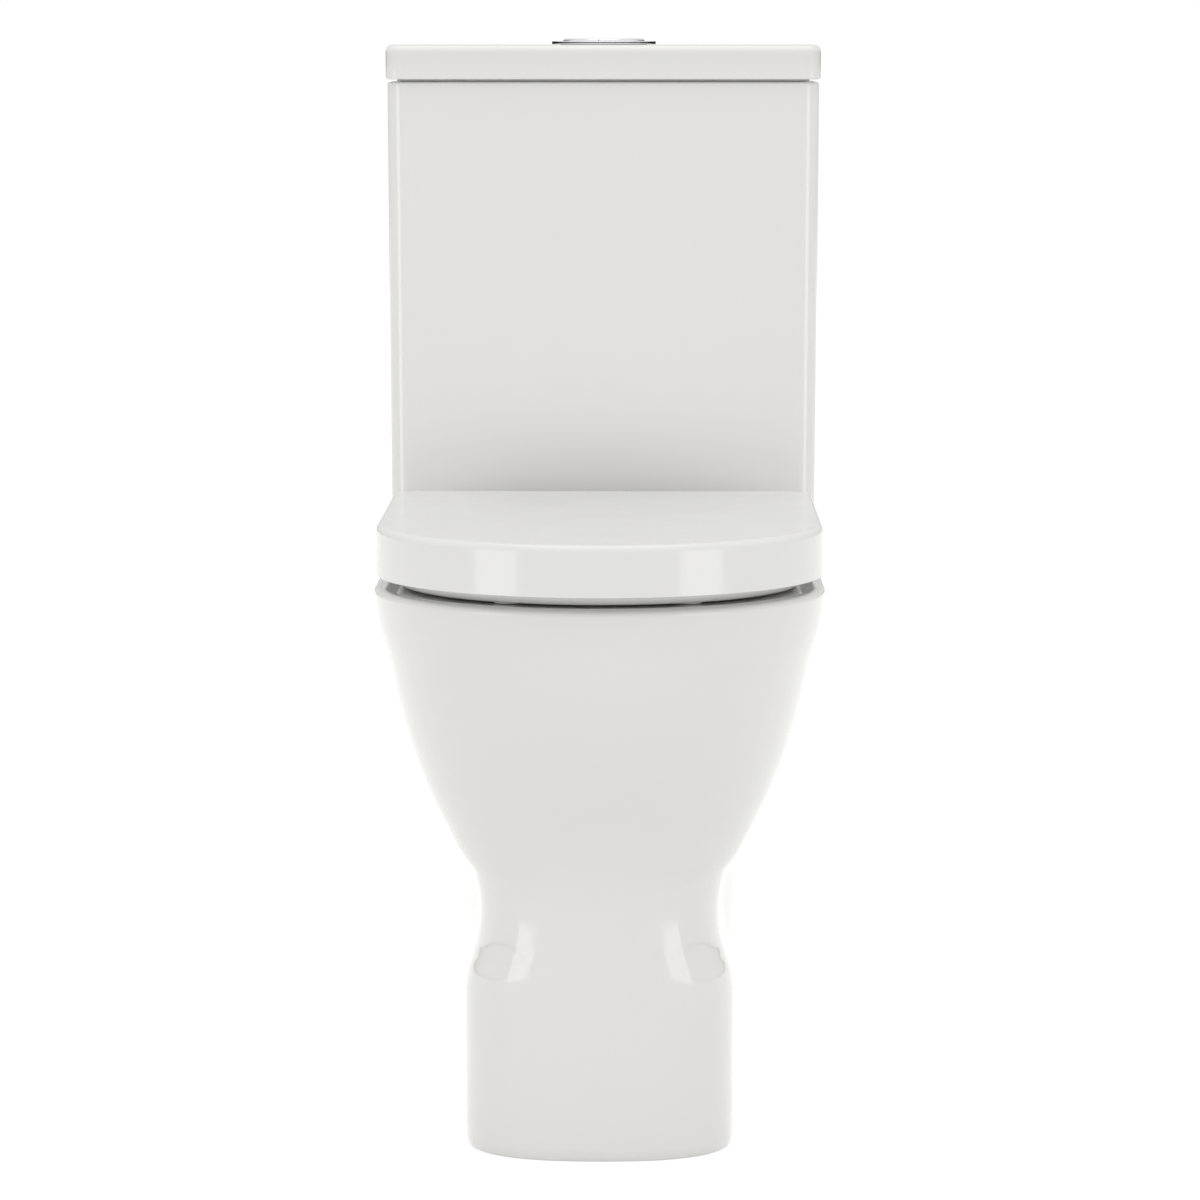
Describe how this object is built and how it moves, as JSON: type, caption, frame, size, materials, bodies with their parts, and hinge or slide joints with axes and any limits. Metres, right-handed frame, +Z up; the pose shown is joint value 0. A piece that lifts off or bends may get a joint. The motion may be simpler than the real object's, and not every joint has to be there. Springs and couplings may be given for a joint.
{
  "type": "close coupled toilet",
  "caption": "White close coupled toilet with a wrap-over seat, dual flush button and open-back pan, with working flush and fill valves inside.",
  "frame": {"origin": "on the floor, at the centre of the plan, under the pan", "axes": "+X to the right as seen from the front, +Y back towards the wall, +Z up"},
  "size_m": [0.36, 0.62, 0.855],
  "materials": {
    "glazed_ceramic": "high gloss white glaze",
    "seat_plastic": "gloss white moulded",
    "chrome": "polished",
    "valve_plastic": "moulded, satin",
    "blue_plastic": "moulded, satin",
    "dark_plastic": "moulded, matte",
    "rubber": "matte black",
    "pale_rubber": "matte pale grey",
    "brass": "plain machined",
    "steel": "bright, machined"
  },
  "bodies": {
    "root": {"pan_skirt": "glazed_ceramic", "pan_deck": "glazed_ceramic", "pan_bowl": "glazed_ceramic", "pan_sump": "glazed_ceramic", "pan_trapway": "glazed_ceramic", "cistern": "glazed_ceramic", "flush_valve_body": "valve_plastic", "flush_valve_nut": "dark_plastic", "fill_valve_body": "valve_plastic", "fill_valve_gasket": "rubber", "fill_valve_nut": "valve_plastic", "fill_valve_head": "valve_plastic", "coupling_gasket": "rubber", "coupling_bolt_l": "brass", "coupling_bolt_r": "brass", "coupling_seal_l": "rubber", "coupling_seal_r": "rubber", "coupling_washer_l": "rubber", "coupling_washer_r": "rubber", "coupling_nut_l": "brass", "coupling_nut_r": "brass", "hinge_post_l": "chrome", "hinge_post_r": "chrome", "hinge_pin_l": "steel", "hinge_pin_r": "steel", "hinge_stud_l": "steel", "hinge_stud_r": "steel", "hinge_washer_l": "rubber", "hinge_washer_r": "rubber", "hinge_nut_l": "valve_plastic", "hinge_nut_r": "valve_plastic", "floor_bracket_l": "dark_plastic", "floor_bracket_r": "dark_plastic", "floor_screw_l": "steel", "floor_screw_r": "steel", "side_screw_l": "steel", "side_screw_r": "steel", "side_cap_l": "seat_plastic", "side_cap_r": "seat_plastic"},
    "tank_lid": {"cistern_lid": "glazed_ceramic", "button_bezel": "chrome", "button_nut": "valve_plastic"},
    "full_flush": {"full_flush_button": "chrome", "full_flush_rod": "valve_plastic"},
    "half_flush": {"half_flush_button": "chrome", "half_flush_rod": "valve_plastic"},
    "flush_lift": {"overflow_tube": "blue_plastic", "flush_seal": "rubber", "half_flush_float": "blue_plastic"},
    "fill_float": {"float_cup": "valve_plastic", "float_rod": "steel"},
    "fill_lever": {"lever_arm": "blue_plastic"},
    "ring": {"seat_ring": "seat_plastic", "ring_bumper_front_l": "pale_rubber", "ring_bumper_front_r": "pale_rubber", "ring_bumper_rear_l": "pale_rubber", "ring_bumper_rear_r": "pale_rubber"},
    "lid": {"seat_lid": "seat_plastic", "lid_bumper_l": "pale_rubber", "lid_bumper_r": "pale_rubber"}
  },
  "joints": [
    {"name": "tank_lid_lift", "type": "slide", "parent": "root", "child": "tank_lid", "axis": [0, 0, 1], "range_m": [0, 0.16]},
    {"name": "full_flush_press", "type": "slide", "parent": "tank_lid", "child": "full_flush", "axis": [0, 0, -1], "range_m": [0, 0.006], "stiffness_N_per_m": 1200, "springref_m": -0.004},
    {"name": "half_flush_press", "type": "slide", "parent": "tank_lid", "child": "half_flush", "axis": [0, 0, -1], "range_m": [0, 0.006], "stiffness_N_per_m": 1200, "springref_m": -0.004},
    {"name": "flush_lift_slide", "type": "slide", "parent": "root", "child": "flush_lift", "axis": [0, 0, 1], "range_m": [0, 0.012]},
    {"name": "float_rise", "type": "slide", "parent": "root", "child": "fill_float", "axis": [0, 0, 1], "range_m": [0, 0.015]},
    {"name": "lever_turn", "type": "hinge", "parent": "root", "child": "fill_lever", "pos_m": [-0.11, 0.23, 0.735], "axis": [0, -1, 0], "range_deg": [0, 30]},
    {"name": "ring_turn", "type": "hinge", "parent": "root", "child": "ring", "pos_m": [0, 0.085, 0.458], "axis": [-1, 0, 0], "range_deg": [0, 92]},
    {"name": "lid_turn", "type": "hinge", "parent": "ring", "child": "lid", "pos_m": [0, 0.085, 0.458], "axis": [1, 0, 0], "range_deg": [-94, 0]}
  ],
  "couplings": [
    {"joint": "flush_lift_slide", "follows": "full_flush_press", "ratio": 2},
    {"joint": "lever_turn", "follows": "float_rise", "rad_per_m": 34.9}
  ]
}
